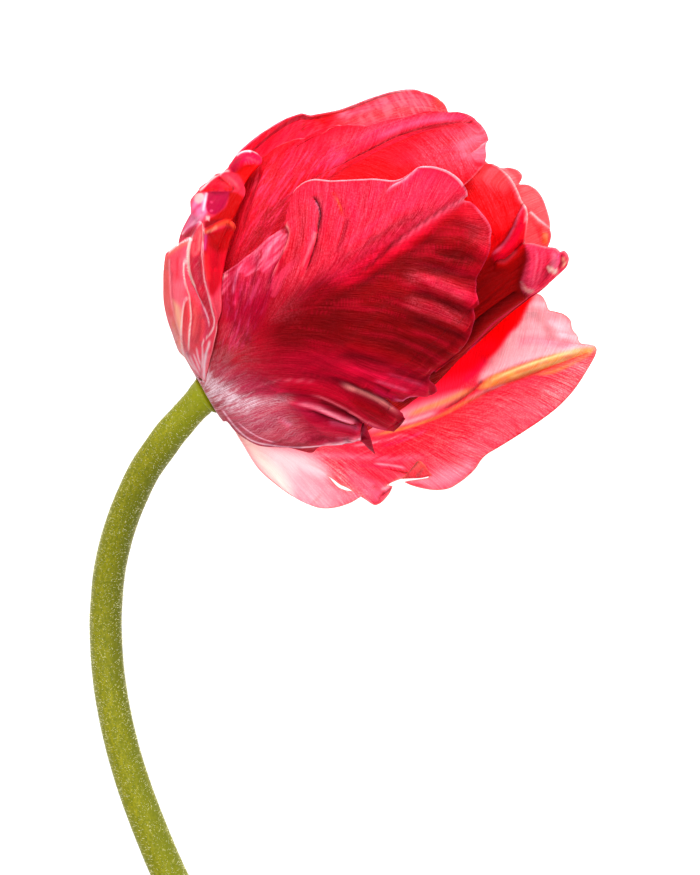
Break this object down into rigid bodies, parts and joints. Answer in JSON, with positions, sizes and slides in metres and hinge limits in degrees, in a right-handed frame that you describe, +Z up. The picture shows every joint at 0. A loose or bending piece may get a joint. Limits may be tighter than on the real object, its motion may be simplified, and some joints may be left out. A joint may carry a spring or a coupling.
{
  "type": "parrot tulip",
  "caption": "Cut parrot tulip lying on its side: bowed round stem and a cupped, half open bloom with wavy fringed petals.",
  "frame": {"origin": "centre of the flower's outline seen from above, on the surface it lies on", "axes": "+Z up from the surface, the shortest way through the flower; +Y runs from the stem's cut end towards the bloom, the longest way; the bloom's mouth opens towards +X and +Y"},
  "size_m": [0.1244, 0.25, 0.0628],
  "materials": {
    "stem_green": "soft satin, fresh plant stem with a fine pale down",
    "petal_red": "silky satin, thin living petal that lets light through, crimson",
    "petal_pink": "silky satin, thin living petal that lets light through, rose pink",
    "pistil_green": "smooth satin",
    "stigma_cream": "matte, velvety",
    "stamen_dark": "smooth satin",
    "anther_dark": "matte, powdery"
  },
  "bodies": {
    "root": {"stem": "stem_green", "outer_petal_front": "petal_red", "outer_petal_left": "petal_pink", "outer_petal_open": "petal_pink", "inner_petal_top": "petal_red", "inner_petal_back": "petal_pink", "inner_petal_right": "petal_red", "ovary": "pistil_green", "stigma": "stigma_cream", "filament_1": "stamen_dark", "filament_2": "stamen_dark", "filament_3": "stamen_dark", "filament_4": "stamen_dark", "filament_5": "stamen_dark", "filament_6": "stamen_dark", "anther_1": "anther_dark", "anther_2": "anther_dark", "anther_3": "anther_dark", "anther_4": "anther_dark", "anther_5": "anther_dark", "anther_6": "anther_dark"}
  },
  "joints": []
}
